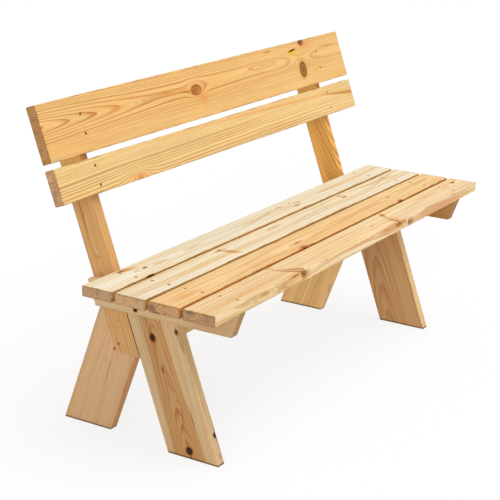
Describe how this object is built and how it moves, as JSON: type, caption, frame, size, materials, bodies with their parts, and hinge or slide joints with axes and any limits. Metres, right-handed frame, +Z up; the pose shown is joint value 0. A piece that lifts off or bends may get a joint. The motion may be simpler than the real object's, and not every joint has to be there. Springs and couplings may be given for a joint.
{
  "type": "rustic bench",
  "caption": "Garden bench of planed pine boards with a slatted seat, a raked board back and crossed board legs at each end, screwed together.",
  "frame": {"origin": "on the floor under the middle of the bench's overall box", "axes": "+X along the bench, to the right seen from the front, +Y towards the backrest, +Z up"},
  "size_m": [1.5, 0.611, 0.8849],
  "materials": {
    "pine": "planed, unfinished",
    "screw_steel": "zinc plated, dulled"
  },
  "bodies": {
    "root": {"seat_board_rear": "pine", "seat_board_mid_rear": "pine", "seat_board_mid_front": "pine", "seat_board_front": "pine", "backrest_upper_board": "pine", "backrest_lower_board": "pine", "left_back_post": "pine", "right_back_post": "pine", "left_seat_bearer": "pine", "right_seat_bearer": "pine", "left_front_leg": "pine", "right_front_leg": "pine", "left_rear_leg": "pine", "right_rear_leg": "pine", "seat_stretcher": "pine", "seat_screws": "screw_steel", "backrest_screws": "screw_steel", "post_screws": "screw_steel", "bearer_screws": "screw_steel", "frame_screws": "screw_steel", "stretcher_screws": "screw_steel"}
  },
  "joints": []
}
